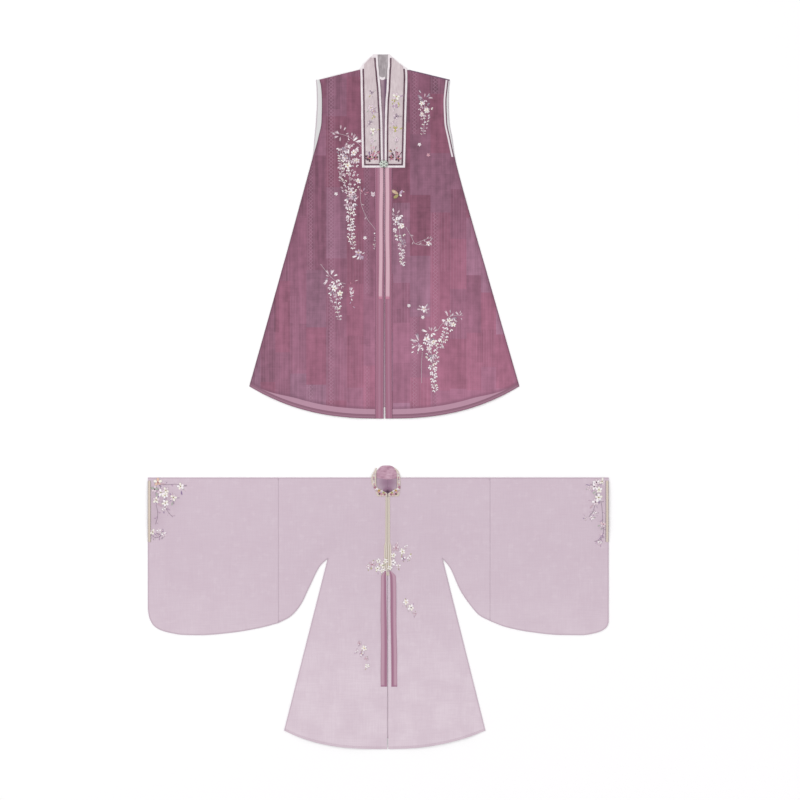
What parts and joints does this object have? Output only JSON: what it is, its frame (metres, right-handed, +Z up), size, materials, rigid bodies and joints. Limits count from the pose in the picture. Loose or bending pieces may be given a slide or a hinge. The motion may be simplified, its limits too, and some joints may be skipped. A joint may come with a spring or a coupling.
{
  "type": "hanfu dress set laid flat",
  "caption": "Hanfu dress set laid flat: a long sleeveless over-vest with a straight collar, above a front-opening robe with a stand collar and curved full sleeves.",
  "frame": {"origin": "centre of the set's footprint, on the surface it lies on", "axes": "+Y towards the vest's neck, along the garments; +X to the right as seen from above; +Z up from the surface"},
  "size_m": [1.6582, 2.4996, 0.0092],
  "materials": {
    "plum_jacquard": "figured jacquard, soft silk lustre",
    "plum_piping": "satin piping",
    "plum_strip": "self cloth strip, woven stripes",
    "white_trim": "matte bias trim",
    "grey_silk": "plain silk lining",
    "pale_pink_silk": "embroidered silk",
    "pink_ribbon": "satin ribbon",
    "clasp_enamel": "pale enamel on metal, satin",
    "lilac_organza": "sheer organza, faint damask",
    "mauve_silk": "plain silk",
    "mauve_ribbon": "satin ribbon",
    "cream_trim": "cream and gold woven trim"
  },
  "bodies": {
    "root": {"vest_back": "plum_jacquard", "vest_front_left": "plum_jacquard", "vest_front_right": "plum_jacquard", "vest_collar_back": "grey_silk", "vest_neck_trim": "white_trim", "vest_collar_left": "white_trim", "vest_collar_right": "white_trim", "vest_collar_panel_left": "pale_pink_silk", "vest_collar_panel_right": "pale_pink_silk", "vest_collar_piping_left": "plum_piping", "vest_collar_piping_right": "plum_piping", "vest_armhole_facing_left": "grey_silk", "vest_armhole_facing_right": "grey_silk", "vest_armhole_binding_right": "white_trim", "vest_placket_left": "plum_strip", "vest_placket_right": "plum_strip", "vest_tie_left": "pink_ribbon", "vest_tie_right": "pink_ribbon", "vest_clasp": "clasp_enamel", "robe_body_left": "lilac_organza", "robe_body_right": "lilac_organza", "robe_sleeve_left": "lilac_organza", "robe_sleeve_right": "lilac_organza", "robe_cuff_trim_left": "cream_trim", "robe_cuff_trim_right": "cream_trim", "robe_collar_back": "mauve_silk", "robe_collar_left": "cream_trim", "robe_collar_right": "cream_trim", "robe_placket_left": "cream_trim", "robe_placket_right": "cream_trim", "robe_tie_left": "mauve_ribbon", "robe_tie_right": "mauve_ribbon"}
  },
  "joints": []
}
